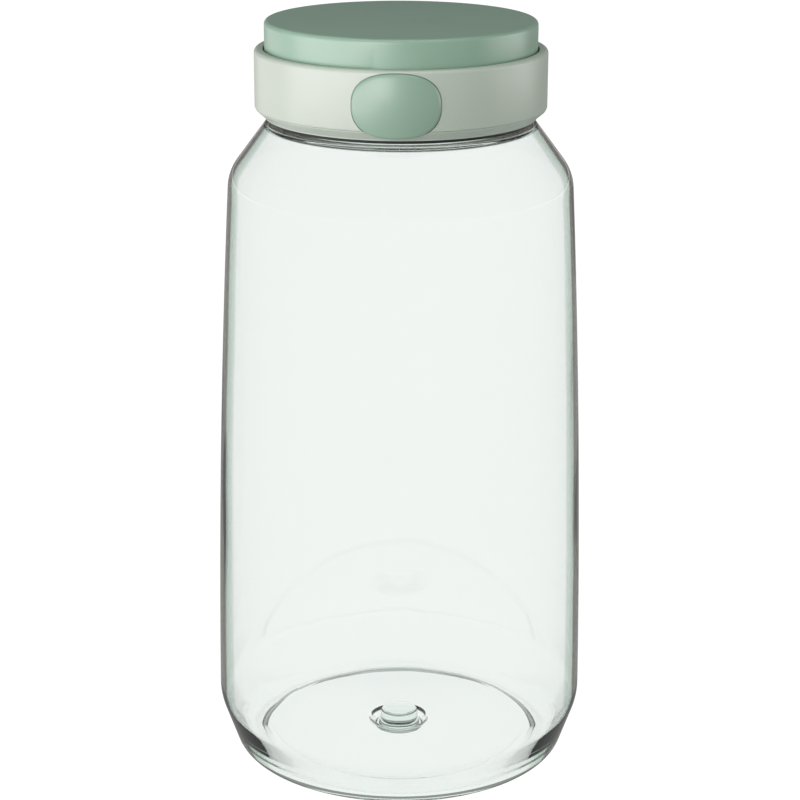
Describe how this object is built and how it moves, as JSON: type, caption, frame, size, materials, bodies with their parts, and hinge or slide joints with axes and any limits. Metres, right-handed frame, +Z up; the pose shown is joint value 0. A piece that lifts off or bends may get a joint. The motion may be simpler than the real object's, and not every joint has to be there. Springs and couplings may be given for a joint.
{
  "type": "push-button flip-lid storage jar",
  "caption": "Tall clear plastic wide-mouth jar with a screw collar, a nested flip lid on a rear hinge and a thumb button that releases it.",
  "frame": {"origin": "centre of the jar's base, on the surface that it stands on", "axes": "+Z up along the jar's axis; the thumb button faces -Y and the lid's hinge is at +Y"},
  "size_m": [0.1232, 0.1232, 0.248],
  "materials": {
    "clear_plastic": "clear, glossy, faint green tint",
    "pale_green_plastic": "satin moulded",
    "sage_plastic": "satin moulded",
    "sage_button_plastic": "satin moulded",
    "white_inner_plastic": "plain moulded",
    "silicone": "translucent matte",
    "spring_steel": "drawn wire"
  },
  "bodies": {
    "jar": {"jar_body": "clear_plastic"},
    "gasket": {"neck_gasket": "silicone"},
    "collar": {"collar_ring": "pale_green_plastic", "outer_band": "pale_green_plastic", "hinge_pin": "spring_steel", "hinge_spring": "spring_steel", "button_spring_left": "spring_steel", "button_spring_right": "spring_steel"},
    "lid": {"lid_cover": "sage_plastic", "lid_liner": "white_inner_plastic", "lid_seal": "silicone"},
    "button": {"button_cap": "sage_button_plastic", "latch_slider": "white_inner_plastic"}
  },
  "joints": [
    {"name": "collar_lift", "type": "slide", "parent": "jar", "child": "gasket", "axis": [0, 0, 1], "range_m": [0, 0.018]},
    {"name": "collar_turn", "type": "hinge", "parent": "gasket", "child": "collar", "pos_m": [0, 0, 0.225], "axis": [0, 0, 1], "range_deg": [0, 540]},
    {"name": "lid_hinge", "type": "hinge", "parent": "collar", "child": "lid", "pos_m": [0, 0.0458, 0.2396], "axis": [-1, 0, 0], "range_deg": [0, 105], "deforming": ["hinge_spring"]},
    {"name": "button_press", "type": "slide", "parent": "collar", "child": "button", "axis": [0, 1, 0], "range_m": [0, 0.0018], "stiffness_N_per_m": 500, "springref_m": -0.002, "deforming": ["button_spring_left", "button_spring_right"]}
  ],
  "couplings": [
    {"joint": "collar_lift", "follows": "collar_turn", "m_per_rad": 0.0019099}
  ]
}
